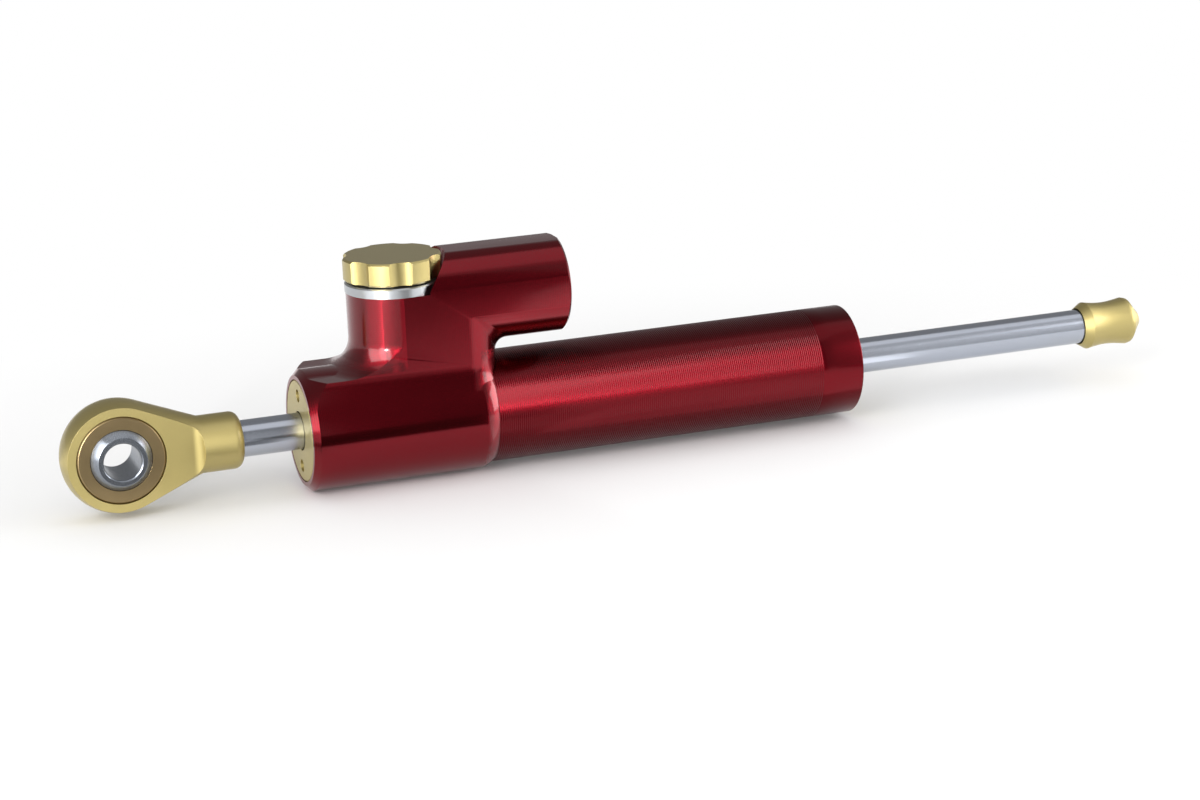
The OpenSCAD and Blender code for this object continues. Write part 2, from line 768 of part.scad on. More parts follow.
module adjuster_knob() {
    r = knob_d / 2;
    top = knob_z + knob_t;
    groove_w = stop_pin_d / 2 + end_fit;
    color([0.78, 0.7, 0.42])
    difference() {
        adjuster_turned([[0, knob_z], [r - knob_chamfer, knob_z], [r, knob_z + knob_chamfer],
            [r, top - knob_chamfer], [r - knob_chamfer, top], [0, top]]);
        for (i = [0:scallops - 1])
            translate([adjuster_x, 0, knob_z - cut])
                rotate([0, 0, scallop_at + i * 360 / scallops])
                    translate([r + scallop_r - scallop_depth, 0, 0])
                        cylinder(r = scallop_r, h = knob_t + 2 * cut);
        adjuster_rod(knob_stub_d + 2 * seat_fit, knob_z - cut, knob_z + knob_stub_len + end_fit);
        at_clicks(gland_top)
            cylinder(d = click_d + 2 * run_fit, h = pocket_top - gland_top, $fn = 32);
        // Groove that the stop pin runs in, left solid where the knob stops
        difference() {
            adjuster_turned([[stop_pin_r - groove_w, knob_z - cut], [stop_pin_r + groove_w, knob_z - cut],
                [stop_pin_r + groove_w, gland_top + stop_pin_h + end_fit],
                [stop_pin_r - groove_w, gland_top + stop_pin_h + end_fit]]);
            translate([adjuster_x, 0, knob_z - 2 * cut])
                linear_extrude(height = knob_t)
                    polygon([[0, 0], [-r * sin(stop_land), -r * cos(stop_land)],
                        [0, -2 * r], [r * sin(stop_land), -r * cos(stop_land)]]);
        }
    }
}

module adjuster_spindle() {
    r = spindle_d / 2;
    z = gland_top - gland_h;
    groove = spindle_ring_t / 2 + end_fit;
    spool_z = sleeve_z + sleeve_floor + end_fit;
    color([0.66, 0.67, 0.7])
    difference() {
        adjuster_turned([[0, spool_z], [spool_d / 2, spool_z], [spool_d / 2, gland_z - end_fit],
            [r, gland_z - end_fit], [r, z - groove], [r - spindle_ring_t, z - groove],
            [r - spindle_ring_t, z + groove], [r, z + groove], [r, knob_z],
            [knob_stub_d / 2, knob_z], [knob_stub_d / 2, knob_z + knob_stub_len],
            [0, knob_z + knob_stub_len]]);
        adjuster_rod(passage_d, spool_z - cut, passage_z);
        x_rod(passage_d, adjuster_x, adjuster_x + spool_d, passage_z);
    }
}

module spindle_o_ring() {
    color([0.08, 0.08, 0.08])
    translate([adjuster_x, 0, gland_top - gland_h])
        rotate_extrude()
            translate([(spindle_d - spindle_ring_t) / 2, 0])
                circle(d = spindle_ring_t - seat_fit, $fn = 32);
}

module click_balls() {
    color([0.75, 0.76, 0.78])
    at_clicks(click_z) sphere(d = click_d, $fn = 32);
}

// Each spring stands as a plain sleeve above its ball
module click_springs() {
    color([0.5, 0.51, 0.53])
    at_clicks(click_z + click_d / 2)
        difference() {
            cylinder(d = click_d, h = click_spring_len - end_fit, $fn = 32);
            translate([0, 0, -cut])
                cylinder(d = click_d / 2, h = click_spring_len + 2 * cut, $fn = 32);
        }
}

// Reservoir

module reservoir_plug(x0, len, gap) {
    r = reservoir_d / 2 - gap;
    groove = reservoir_ring_t / 2 + end_fit;
    x = x0 + len / 2;
    translate([0, 0, arm_z])
        x_turned([[x0, 0], [x0, r], [x - groove, r], [x - groove, r - reservoir_ring_t],
            [x + groove, r - reservoir_ring_t], [x + groove, r], [x0 + len, r], [x0 + len, 0]]);
}

module reservoir_o_ring(x, gap) {
    translate([0, 0, arm_z])
        x_o_ring(x, reservoir_d / 2 - gap, reservoir_ring_t - seat_fit);
}

module reservoir_cap() {
    color([0.5, 0.03, 0.07])
    difference() {
        reservoir_plug(plug_x, plug_len, seat_fit);
        x_rod(fill_d + 2 * seat_fit, plug_x - cut, plug_x + plug_len + cut, arm_z);
    }
}

module reservoir_cap_o_ring() {
    color([0.08, 0.08, 0.08])
    reservoir_o_ring(plug_x + plug_len / 2, seat_fit);
}

module reservoir_circlip() {
    x = plug_x + plug_len;
    r = reservoir_d / 2 + snap_depth - seat_fit;
    color([0.25, 0.25, 0.27])
    difference() {
        x_rod(2 * r, x, x + snap_t, arm_z);
        x_rod(reservoir_d - 2 * snap_w, x - cut, x + snap_t + cut, arm_z);
        translate([x - cut, -snap_w, arm_z - r - cut])
            cube([snap_t + 2 * cut, 2 * snap_w, r]);
    }
}

module fill_screw() {
    color([0.3, 0.3, 0.32])
    difference() {
        x_rod(fill_d, plug_x, plug_x + plug_len - end_fit, arm_z);
        translate([plug_x + plug_len - fill_socket_depth, 0, arm_z])
            rotate([0, 90, 0])
                cylinder(d = fill_socket / cos(30), h = fill_socket_depth + cut, $fn = 6);
    }
}

module floating_piston() {
    color([0.72, 0.73, 0.75])
    reservoir_plug(float_x, float_len, run_fit);
}

module floating_piston_o_ring() {
    color([0.08, 0.08, 0.08])
    reservoir_o_ring(float_x + float_len / 2, run_fit);
}

// Rod, piston and clips

module piston() {
    r = liner_bore / 2 - 2 * run_fit;
    bore = rod_r + run_fit;
    x0 = piston_x - piston_len / 2;
    x1 = piston_x + piston_len / 2;
    groove = piston_ring_w / 2 + end_fit;
    groove_r = liner_bore / 2 - run_fit - piston_ring_t - seat_fit;
    color([0.68, 0.69, 0.72])
    x_turned([[x0, bore], [x0, r], [piston_x - groove, r], [piston_x - groove, groove_r],
        [piston_x + groove, groove_r], [piston_x + groove, r], [x1, r], [x1, bore]]);
}

module piston_ring() {
    r = liner_bore / 2 - run_fit;
    x0 = piston_x - piston_ring_w / 2;
    x1 = piston_x + piston_ring_w / 2;
    color([0.2, 0.2, 0.22])
    x_turned([[x0, r - piston_ring_t], [x0, r], [x1, r], [x1, r - piston_ring_t]]);
}

module damper_rod() {
    x0 = collar_x - stub_len;
    x1 = cap_x + cap_mouth_depth + stub_len;
    groove_x = piston_len / 2 + end_fit / 2;
    r = rod_r - clip_groove_depth;
    left = piston_x - groove_x;
    right = piston_x + groove_x;
    color([0.78, 0.79, 0.82])
    x_turned([[x0, 0], [x0, stub_d / 2], [collar_x + seat_fit, stub_d / 2],
        [collar_x + seat_fit, rod_r],
        [left - clip_groove_w, rod_r], [left - clip_groove_w, r], [left, r], [left, rod_r],
        [right, rod_r], [right, r], [right + clip_groove_w, r], [right + clip_groove_w, rod_r],
        [cap_x + cap_mouth_depth, rod_r], [cap_x + cap_mouth_depth, stub_d / 2],
        [x1, stub_d / 2], [x1, 0]]);
}

module piston_clips() {
    gap = (clip_groove_w - clip_t) / 2;
    color([0.35, 0.35, 0.37])
    for (side = [-1, 1])
        translate([piston_x + side * (piston_len / 2 + end_fit / 2 + gap + clip_t / 2), 0, 0])
            ring_on_rod(clip_d, -clip_t / 2, clip_t / 2,
                rod_d - 2 * clip_groove_depth + 2 * seat_fit);
}

// Rod end with its spherical bearing

// Half section of the eye: a ball, the cone that leaves it at a tangent, and the collar
module eye_section() {
    eye_r = eye_d / 2;
    collar_r = collar_d / 2;
    touch = atan2(collar_r, eye_taper_x) + acos(eye_r / norm([eye_taper_x, collar_r]));
    intersection() {
        union() {
            circle(r = eye_r);
            polygon([[0, 0], [eye_r * sin(touch), eye_r * cos(touch)], [collar_r, eye_taper_x],
                [collar_r, collar_x - collar_round], [collar_r - collar_round, collar_x], [0, collar_x]]);
            translate([collar_r - collar_round, collar_x - collar_round])
                circle(r = collar_round);
        }
        translate([0, -2 * eye_r])
            square([2 * eye_r, 2 * eye_r + collar_x]);
    }
}

module rod_end() {
    color([0.72, 0.63, 0.3])
    difference() {
        rotate([0, 90, 0])
            rotate_extrude()
                eye_section();
        for (side = [-1, 1])
            eye_flat_cut(side);
        rotate([90, 0, 0])
            cylinder(d = race_od + 2 * seat_fit, h = 2 * race_w, center = true);
        x_rod(stub_d + 2 * seat_fit, collar_x - stub_len - end_fit, collar_x + cut);
    }
}

// Metal beside the eye that the mill takes off, as far as its cutter's round end
module eye_flat_cut(side) {
    flat_y = race_w / 2;
    translate([-eye_d, side * (flat_y + eye_d / 2), 0])
        cube([2 * (eye_d + eye_flat_x), eye_d, 2 * eye_d], center = true);
    translate([eye_flat_x, side * (flat_y + eye_cut_r), 0])
        cylinder(r = eye_cut_r, h = 2 * eye_d, center = true);
}

module bearing_race() {
    r = race_od / 2;
    h = race_w / 2;
    color([0.62, 0.5, 0.34])
    rotate([90, 0, 0])
        rotate_extrude()
            difference() {
                polygon([[pivot_d / 2, -h], [r - race_chamfer, -h], [r, race_chamfer - h],
                    [r, h - race_chamfer], [r - race_chamfer, h], [pivot_d / 2, h]]);
                circle(d = ball_d + 2 * run_fit);
            }
}

module bearing_ball() {
    h = ball_w / 2;
    r = pivot_d / 2;
    color([0.72, 0.74, 0.78])
    rotate([90, 0, 0])
        rotate_extrude()
            difference() {
                intersection() {
                    circle(d = ball_d);
                    translate([0, -h]) square([ball_d, ball_w]);
                }
                polygon([[-cut, -h - cut], [r + pivot_chamfer + cut, -h - cut],
                    [r, pivot_chamfer - h], [r, h - pivot_chamfer],
                    [r + pivot_chamfer + cut, h + cut], [-cut, h + cut]]);
            }
}

// Bumper cap: a cone at the mouth, a hollow waist, a flare and a rounded nose
module bumper_cap() {
    r = cap_d / 2;
    mouth = rod_r + cap_mouth_clear;
    flare_x = cap_x + cap_len - cap_nose_len;
    end_x = cap_x + cap_len;
    waist_len = flare_x - cap_x - cap_mouth_len;
    dip = (cap_d - cap_waist_d) / 2;
    steps = 12;
    color([0.8, 0.72, 0.44])
    difference() {
        x_turned(concat([[cap_x, 0], [cap_x, mouth]],
            [for (i = [0:steps]) [cap_x + cap_mouth_len + waist_len * i / steps,
                r - dip * sin(180 * i / steps)]],
            [[flare_x + cap_nose_len / 5, r - dip / 3], [end_x - cap_nose_len / 4, cap_tip_r + dip / 2],
             [end_x - cap_nose_len / 12, cap_tip_r * 0.8], [end_x, cap_tip_r / 3], [end_x, 0]]));
        x_rod(2 * mouth, cap_x - cut, cap_x + cap_mouth_depth);
        x_rod(stub_d + 2 * seat_fit, cap_x, cap_x + cap_mouth_depth + stub_len + end_fit);
    }
}

housing();
damper_tube();
cylinder_liner();
left_seal_head();
right_seal_head();
left_wiper();
right_wiper();
left_rod_bush();
right_rod_bush();
left_rod_seal();
right_rod_seal();
left_seal_washer();
right_seal_washer();
left_head_o_ring();
right_head_o_ring();
tube_o_ring();
adjuster_gland();
gland_o_ring();
valve_sleeve();
stop_pin();
reservoir_cap();
reservoir_cap_o_ring();
reservoir_circlip();
fill_screw();
adjuster_knob();
adjuster_spindle();
spindle_o_ring();
click_balls();
click_springs();
floating_piston();
floating_piston_o_ring();
piston();
piston_ring();
damper_rod();
piston_clips();
rod_end();
bearing_race();
bearing_ball();
bumper_cap();
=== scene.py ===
"""Looks of a motorcycle's steering damper: anodised, chromed and turned metal on white paper.

The frame holds every solid piece. The pieces whose finish needs more than the solids have, such
as the tube's turned grooves or the housing's broken edges, are made again here and ride in their
places. The rest keep their solids and get their finish.
"""

import json
import math
from collections import namedtuple

import bmesh
import bpy
from bpy.props import FloatProperty, FloatVectorProperty, PointerProperty
from mathutils import Matrix, Vector

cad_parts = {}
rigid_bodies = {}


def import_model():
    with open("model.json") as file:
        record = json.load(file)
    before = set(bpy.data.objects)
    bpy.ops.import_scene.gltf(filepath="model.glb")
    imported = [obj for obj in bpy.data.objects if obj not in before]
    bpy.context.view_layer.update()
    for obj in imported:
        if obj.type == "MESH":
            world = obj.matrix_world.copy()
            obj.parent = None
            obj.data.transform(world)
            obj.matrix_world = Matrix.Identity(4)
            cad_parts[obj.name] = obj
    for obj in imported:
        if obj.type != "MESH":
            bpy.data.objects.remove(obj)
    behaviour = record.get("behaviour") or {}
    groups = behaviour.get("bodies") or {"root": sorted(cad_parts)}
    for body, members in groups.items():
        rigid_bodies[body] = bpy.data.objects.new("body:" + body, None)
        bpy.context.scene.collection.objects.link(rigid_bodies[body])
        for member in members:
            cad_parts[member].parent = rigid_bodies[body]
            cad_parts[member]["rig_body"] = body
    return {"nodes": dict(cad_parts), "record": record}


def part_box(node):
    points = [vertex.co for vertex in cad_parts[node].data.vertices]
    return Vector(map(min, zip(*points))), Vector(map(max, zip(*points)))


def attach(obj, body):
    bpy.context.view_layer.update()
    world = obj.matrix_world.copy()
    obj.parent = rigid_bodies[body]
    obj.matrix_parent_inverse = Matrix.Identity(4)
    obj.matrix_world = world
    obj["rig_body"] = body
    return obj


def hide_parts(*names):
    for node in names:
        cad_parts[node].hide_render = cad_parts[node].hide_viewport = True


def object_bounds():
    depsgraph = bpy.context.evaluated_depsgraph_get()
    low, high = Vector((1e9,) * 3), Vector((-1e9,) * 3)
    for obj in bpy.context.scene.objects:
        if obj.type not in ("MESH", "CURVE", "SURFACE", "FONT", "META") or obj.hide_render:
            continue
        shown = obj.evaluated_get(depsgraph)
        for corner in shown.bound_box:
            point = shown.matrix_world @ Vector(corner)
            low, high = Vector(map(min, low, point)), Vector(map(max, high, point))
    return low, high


bl_info = {
    "name": "Steering damper",
    "version": (1, 0, 0),
    "blender": (4, 5, 0),
    "location": "View3D > Sidebar > Damper",
    "description": "Builds the finish of a steering damper round its solid parts",
    "category": "Object",
}

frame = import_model()
CAD_LOW, CAD_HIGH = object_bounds()

MM = 0.001

# Places that the pieces share, from the frame's own boxes
HOUSING_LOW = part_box("housing")[0]
TUBE_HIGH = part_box("damper_tube")[1]
KNOB_LOW, KNOB_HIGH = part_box("adjuster_knob")
ADJUSTER = Vector(((KNOB_LOW.x + KNOB_HIGH.x) / 2, 0.0, 0.0))

# What the tube's box doesn't give. The tube shows from where the housing's barrel ends
BARREL_LENGTH = 41.3 * MM
TUBE_WALL = 1.6 * MM
TUBE_SEGMENTS = 120
RIM_RADIUS = 0.35 * MM
RIM_STEPS = 4
RIM_LEAD = MM  # the rim's outline starts so far into the land
RIM_DEPTH = 2 * MM  # and ends so far into the bore
SEAM_RING = 0.5 * MM  # a ring on the tube's left face lies so far under its surface
# Place along a groove and depth of its four points, as shares of its pitch and depth, so that its
# flanks shade as a round-nosed tool leaves them
GROOVE_PROFILE = ((0, 0), (0.25, 0.5), (0.5, 1), (0.75, 0.5))

# Corners of an outline flatter than this are left as they are
STRAIGHT = math.radians(150)
# Edges sharper than these are crisp on turned meshes, and eased on copies of the solids
TURNED_CREASE = math.radians(32)
SOLID_CREASE = math.radians(34)
# Points nearer than this are one
WELD = 0.001 * MM


def linear(hex_colour):
    """An sRGB hex colour as linear red, green, blue and alpha."""
    coded = [int(hex_colour[i : i + 2], 16) / 255 for i in (1, 3, 5)]
    return (*(c / 12.92 if c <= 0.04045 else ((c + 0.055) / 1.055) ** 2.4 for c in coded), 1.0)


# ---- What a user would change ----


class DamperSizes(bpy.types.PropertyGroup):
    """Sizes of the details that the finish adds to the solids."""

    groove_pitch: FloatProperty(
        name="Groove pitch",
        description="Distance between the turned grooves along the tube",
        default=0.47 * MM,
        min=0.2 * MM,
        unit="LENGTH",
    )
    groove_depth: FloatProperty(
        name="Groove depth",
        description="Depth of the turned grooves along the tube",
        default=0.1 * MM,
        min=0.0,
        unit="LENGTH",
    )
    land_length: FloatProperty(
        name="Land length",
        description="Length of the plain land at the tube's free end",
        default=9.6 * MM,
        unit="LENGTH",
    )
    edge_break: FloatProperty(
        name="Edge break",
        description="Radius that eases the machined edges",
        default=0.25 * MM,
        min=0.05 * MM,
        unit="LENGTH",
    )


class DamperColours(bpy.types.PropertyGroup):
    """Colours of the two dyes and of the floor."""

    red: FloatVectorProperty(
        name="Red dye",
        description="Colour of the red anodised aluminium",
        subtype="COLOR",
        size=4,
        default=linear("#760D19"),
    )
    gold: FloatVectorProperty(
        name="Gold dye",
        description="Colour of the pale gold anodised aluminium",
        subtype="COLOR",
        size=4,
        default=linear("#B6A76E"),
    )
    floor: FloatVectorProperty(
        name="Floor",
        description="Colour of the floor",
        subtype="COLOR",
        size=4,
        default=linear("#DBDBDB"),
    )


def chosen_colours():
    """The colours that the user has set."""
    return bpy.context.scene.damper_colours


# ---- Materials ----

CLOUD_SIZE = 9 * MM
# How far the cloud takes a metal's colour up and down
UNEVENNESS = 0.06
GRAIN_SIZE = 0.12 * MM
GRAIN_DEPTH = 0.004 * MM
MOULDED_GRAIN_DEPTH = 0.01 * MM
# Roughness at the grain's two ends, as shares of the material's own
GRAIN_SMOOTH, GRAIN_ROUGH = 0.85, 1.2
# Roughness of the clear oxide that anodising leaves
OXIDE_ROUGHNESS = 0.12
# The length of one band of a wave texture whose scale is 1
WAVE_BAND = math.pi / 10

# Tool marks are BANDS along an axis, or RINGS round it, with their pitch, depth and centre. Real
# ones are 0.02 to 0.15 mm apart, too fine to show, so most are drawn 0.25 to 0.4 mm apart
ToolMarks = namedtuple("ToolMarks", "kind axis pitch depth centre", defaults=((0, 0, 0),))

# On the housing they run along the rod, but upright on the turret and down the right corner. The
# change from the one to the other lies between each pair of places
TURRET_RADIUS = (14 * MM, 18 * MM)  # from the adjuster's axis, where the turret's foot flares
TURRET_LEFT_HALF = (-5 * MM, -0.5 * MM)  # along the rod from that axis. The right half is flat
NECK_FOOT = (13 * MM, 15 * MM)  # above the rod, where the turret starts
RIGHT_CORNER = (16 * MM, 17 * MM)  # along the rod from the adjuster's axis
# Marks of 0.15 mm are too fine to show, so they are drawn at 0.4 mm
BLOCK_MARK_PITCH = 0.4 * MM
BLOCK_MARK_DEPTH = 0.006 * MM
# How far they draw the highlights out, and how much rougher the metal is where they run upright
BLOCK_STRETCH = 0.75
UPRIGHT_DULLING = 1.75
# Share of the clear coat where the marks run along the rod, and where they run upright
BLOCK_COAT, UPRIGHT_COAT = 0.35, 0.85
# The tube's red is this share of the block's: painted shade, for its grooves shading one another
GROOVE_SHADE_SHARE = 0.62


def feed(tree, node, inputs):
    """Sets or links a node's inputs, by name or number."""
    for key, value in inputs.items():
        if isinstance(value, bpy.types.NodeSocket):
            tree.links.new(value, node.inputs[key])
        else:
            node.inputs[key].default_value = value


def add_node(tree, kind, inputs=None, **settings):
    """Adds a node with its settings, and sets or links its inputs."""
    node = tree.nodes.new(kind)
    for key, value in settings.items():
        setattr(node, key, value)
    feed(tree, node, inputs or {})
    return node


def new_material(name):
    """A new material, its node tree and its shader."""
    material = bpy.data.materials.new(name)
    material.use_nodes = True
    return material, material.node_tree, material.node_tree.nodes["Principled BSDF"]


def grain_and_cloud(tree, shader, colour, roughness, grain_size, unevenness):
    """Fine grain in the roughness and a broad cloud in the colour. Returns the grain."""
    where = add_node(tree, "ShaderNodeTexCoord").outputs["Object"]
    fine = add_node(
        tree,
        "ShaderNodeTexNoise",
        {"Vector": where, "Scale": 1 / grain_size, "Detail": 3.0},
    )
    cloud = add_node(
        tree,
        "ShaderNodeTexNoise",
        {"Vector": where, "Scale": 1 / CLOUD_SIZE, "Detail": 2.0},
    )
    level = add_node(
        tree,
        "ShaderNodeMapRange",
        {"Value": cloud.outputs["Fac"], "To Min": 1 - unevenness, "To Max": 1 + unevenness},
    )
    # Inputs 6 and 7 of a colour mix are its two colours, and output 2 is the colour
    tint = add_node(
        tree,
        "ShaderNodeMix",
        {0: 1.0, 6: tuple(colour), 7: level.outputs["Result"]},
        data_type="RGBA",
        blend_type="MULTIPLY",
    )
    dull = add_node(
        tree,
        "ShaderNodeMapRange",
        {
            "Value": fine.outputs["Fac"],
            "To Min": roughness * GRAIN_SMOOTH,
            "To Max": roughness * GRAIN_ROUGH,
        },
    )
    feed(tree, shader, {"Base Color": tint.outputs[2], "Roughness": dull.outputs["Result"]})
    return fine.outputs["Fac"]


def metal(
    name,
    colour,
    roughness,
    marks=None,
    stretch=0.0,
    coat=0.0,
    grain_size=GRAIN_SIZE,
    unevenness=UNEVENNESS,
):
    """Machined metal with fine grain and tool marks.

    stretch draws the highlights out along the axis of the marks, as a turning tool's marks do.
    """
    material, tree, shader = new_material(name)
    fine = grain_and_cloud(tree, shader, colour, roughness, grain_size, unevenness)
    feed(tree, shader, {"Metallic": 1.0, "Coat Weight": coat, "Coat Roughness": OXIDE_ROUGHNESS})
    normal = add_node(tree, "ShaderNodeBump", {"Height": fine, "Distance": GRAIN_DEPTH})
    if marks:
        where = add_node(tree, "ShaderNodeTexCoord").outputs["Object"]
        moved = add_node(
            tree, "ShaderNodeVectorMath", {0: where, 1: marks.centre}, operation="SUBTRACT"
        )
        direction = "bands_direction" if marks.kind == "BANDS" else "rings_direction"
        lines = add_node(
            tree,
            "ShaderNodeTexWave",
            {
                "Vector": moved.outputs[0],
                "Scale": WAVE_BAND / marks.pitch,
                "Distortion": 0.5,
                "Detail": 2.0,
            },
            wave_type=marks.kind,
            **{direction: marks.axis},
        )
        normal = add_node(
            tree,
            "ShaderNodeBump",
            {
                "Height": lines.outputs["Fac"],
                "Distance": marks.depth,
                "Normal": normal.outputs["Normal"],
            },
        )
        if stretch:
            along = add_node(tree, "ShaderNodeCombineXYZ", {marks.axis: 1.0})
            feed(tree, shader, {"Anisotropic": stretch, "Tangent": along.outputs["Vector"]})
    feed(tree, shader, {"Normal": normal.outputs["Normal"]})
    return material


def upright_share(tree, where):
    """1 where the housing's tool marks run upright, 0 where they run along the rod."""
    from_axis = add_node(
        tree, "ShaderNodeVectorMath", {0: where, 1: tuple(ADJUSTER)}, operation="SUBTRACT"
    )
    flat = add_node(
        tree, "ShaderNodeVectorMath", {0: from_axis.outputs[0], 1: (1, 1, 0)}, operation="MULTIPLY"
    )
    away = add_node(tree, "ShaderNodeVectorMath", {0: flat.outputs[0]}, operation="LENGTH")
    place = add_node(tree, "ShaderNodeSeparateXYZ", {"Vector": from_axis.outputs[0]})
    near, left, above, right = (
        add_node(
            tree,
            "ShaderNodeMapRange",
            {
                "Value": distance,
                "From Min": start,
                "From Max": end,
                "To Min": first,
                "To Max": 1.0 - first,
            },
        ).outputs["Result"]
        for distance, (start, end), first in (
            (away.outputs["Value"], TURRET_RADIUS, 1.0),
            (place.outputs["X"], TURRET_LEFT_HALF, 1.0),
            (place.outputs["Z"], NECK_FOOT, 0.0),
            (place.outputs["X"], RIGHT_CORNER, 0.0),
        )
    )
    both = add_node(tree, "ShaderNodeMath", {0: near, 1: left}, operation="MULTIPLY")
    turret = add_node(tree, "ShaderNodeMath", {0: both.outputs[0], 1: above}, operation="MULTIPLY")
    # A ball-nosed cutter went down the neck's right corner and the barrel's right edge
    below = add_node(tree, "ShaderNodeMath", {0: 1.0, 1: above}, operation="SUBTRACT")
    corner = add_node(tree, "ShaderNodeMath", {0: right, 1: below.outputs[0]}, operation="MULTIPLY")
    either = add_node(
        tree, "ShaderNodeMath", {0: turret.outputs[0], 1: corner.outputs[0]}, operation="MAXIMUM"
    )
    return either.outputs[0]


def red_anodised_block():
    """Anodised aluminium, machined from one block: clear oxide glosses over the deep red dye.

    The turret was turned about its own axis, and most of the rest was cut along the rod. The tool
    marks, and the highlights that they draw out, follow the one or the other.
    """
    material, tree, shader = new_material("red anodised aluminium, machined")
    fine = grain_and_cloud(
        tree,
        shader,
        chosen_colours().red,
        roughness=0.2,
        grain_size=GRAIN_SIZE,
        unevenness=UNEVENNESS,
    )
    where = add_node(tree, "ShaderNodeTexCoord").outputs["Object"]
    upright = upright_share(tree, where)
    # The upright marks dull the metal more than the milled faces beside them
    grain = shader.inputs["Roughness"].links[0].from_socket
    dulled = add_node(
        tree, "ShaderNodeMapRange", {"Value": upright, "To Min": 1.0, "To Max": UPRIGHT_DULLING}
    )
    dull = add_node(
        tree, "ShaderNodeMath", {0: grain, 1: dulled.outputs["Result"]}, operation="MULTIPLY"
    )
    # The clear oxide over them glosses more, since it was polished while the part turned
    gloss = add_node(
        tree,
        "ShaderNodeMapRange",
        {"Value": upright, "To Min": BLOCK_COAT, "To Max": UPRIGHT_COAT},
    )
    # Where the two directions meet, the highlights are drawn out in neither
    swing = add_node(
        tree, "ShaderNodeMath", {0: upright, 1: 2.0, 2: -1.0}, operation="MULTIPLY_ADD"
    )
    clear = add_node(tree, "ShaderNodeMath", {0: swing.outputs[0]}, operation="ABSOLUTE")
    drawn = add_node(
        tree, "ShaderNodeMath", {0: clear.outputs[0], 1: BLOCK_STRETCH}, operation="MULTIPLY"
    )
    # Inputs 4 and 5 of a vector mix are its two vectors, and output 1 is the vector
    along = add_node(
        tree, "ShaderNodeMix", {0: upright, 4: (1, 0, 0), 5: (0, 0, 1)}, data_type="VECTOR"
    )
    reach = add_node(
        tree, "ShaderNodeVectorMath", {0: where, 1: along.outputs[1]}, operation="DOT_PRODUCT"
    )
    row = add_node(tree, "ShaderNodeCombineXYZ", {"X": reach.outputs["Value"]})
    lines = add_node(
        tree,
        "ShaderNodeTexWave",
        {
            "Vector": row.outputs["Vector"],
            "Scale": WAVE_BAND / BLOCK_MARK_PITCH,
            "Distortion": 0.6,
            "Detail": 3.0,
        },
        wave_type="BANDS",
        bands_direction="X",
    )
    grained = add_node(tree, "ShaderNodeBump", {"Height": fine, "Distance": GRAIN_DEPTH})
    marked = add_node(
        tree,
        "ShaderNodeBump",
        {
            "Height": lines.outputs["Fac"],
            "Distance": BLOCK_MARK_DEPTH,
            "Normal": grained.outputs["Normal"],
        },
    )
    feed(
        tree,
        shader,
        {
            "Metallic": 1.0,
            "Roughness": dull.outputs[0],
            "Coat Weight": gloss.outputs["Result"],
            "Coat Roughness": OXIDE_ROUGHNESS,
            "Anisotropic": drawn.outputs[0],
            "Tangent": along.outputs[1],
            "Normal": marked.outputs["Normal"],
        },
    )
    return material


def red_anodised_turned():
    """Turned and anodised aluminium: the grooves are in the mesh, so only fine marks are added.

    The red is darker than on the block: painted shade, for the grooves shading one another.
    """
    return metal(
        "red anodised aluminium, turned",
        [GROOVE_SHADE_SHARE * value for value in chosen_colours().red[:3]] + [1.0],
        roughness=0.3,
        marks=ToolMarks("BANDS", "X", pitch=0.16 * MM, depth=0.0004 * MM),
        stretch=0.6,
        coat=0.15,
    )


def gold_anodised_turned():
    """Turned and anodised aluminium, pale gold, with fine rings that draw the highlights out."""
    return metal(
        "pale gold anodised aluminium, turned",
        chosen_colours().gold,
        roughness=0.5,
        marks=ToolMarks("BANDS", "X", pitch=0.3 * MM, depth=0.004 * MM),
        stretch=0.4,
        coat=0.35,
    )


def gold_anodised_knob():
    """Faced and anodised aluminium, pale gold: the facing tool left rings on the knob's top."""
    return metal(
        "pale gold anodised aluminium, faced",
        chosen_colours().gold,
        roughness=0.36,
        marks=ToolMarks(
            "RINGS", "Z", pitch=0.35 * MM, depth=0.003 * MM, centre=tuple(ADJUSTER)
        ),
        coat=0.35,
    )


def bare_turned():
    """Bare turned aluminium, grey-white, with fine rings."""
    return metal(
        "bare aluminium, turned",
        linear("#B9BCBF"),
        roughness=0.3,
        marks=ToolMarks("BANDS", "Z", pitch=0.25 * MM, depth=0.004 * MM),
        stretch=0.5,
    )


def hard_chrome():
    """Ground and polished hard chrome: nearly a mirror, slightly blue, faint grinding lines."""
    return metal(
        "hard chrome, ground",
        linear("#B4B9C4"),
        roughness=0.22,
        marks=ToolMarks("BANDS", "X", pitch=0.3 * MM, depth=0.0004 * MM),
        stretch=0.6,
        unevenness=0.03,
    )


def bearing_steel():
    """Ground bearing steel: bright and slightly dulled by handling."""
    return metal(
        "bearing steel, ground",
        linear("#8B9098"),
        roughness=0.26,
        marks=ToolMarks("BANDS", "Y", pitch=0.3 * MM, depth=0.001 * MM),
        stretch=0.4,
    )


def bronze():
    """Sintered bronze: dull and warm, with open grain."""
    return metal(
        "sintered bronze",
        linear("#9A8662"),
        roughness=0.36,
        marks=ToolMarks("RINGS", "Y", pitch=0.4 * MM, depth=0.006 * MM),
        grain_size=0.2 * MM,
        unevenness=0.25,
    )


def machined_steel():
    """Plain machined steel, grey, with turning marks."""
    return metal(
        "machined steel",
        linear("#A3A6AB"),
        roughness=0.3,
        marks=ToolMarks("BANDS", "X", pitch=0.25 * MM, depth=0.003 * MM),
    )


def black_steel():
    """Blackened steel, as on retaining rings and small screws."""
    return metal("blackened steel", linear("#3A3A3D"), roughness=0.38, grain_size=0.15 * MM)


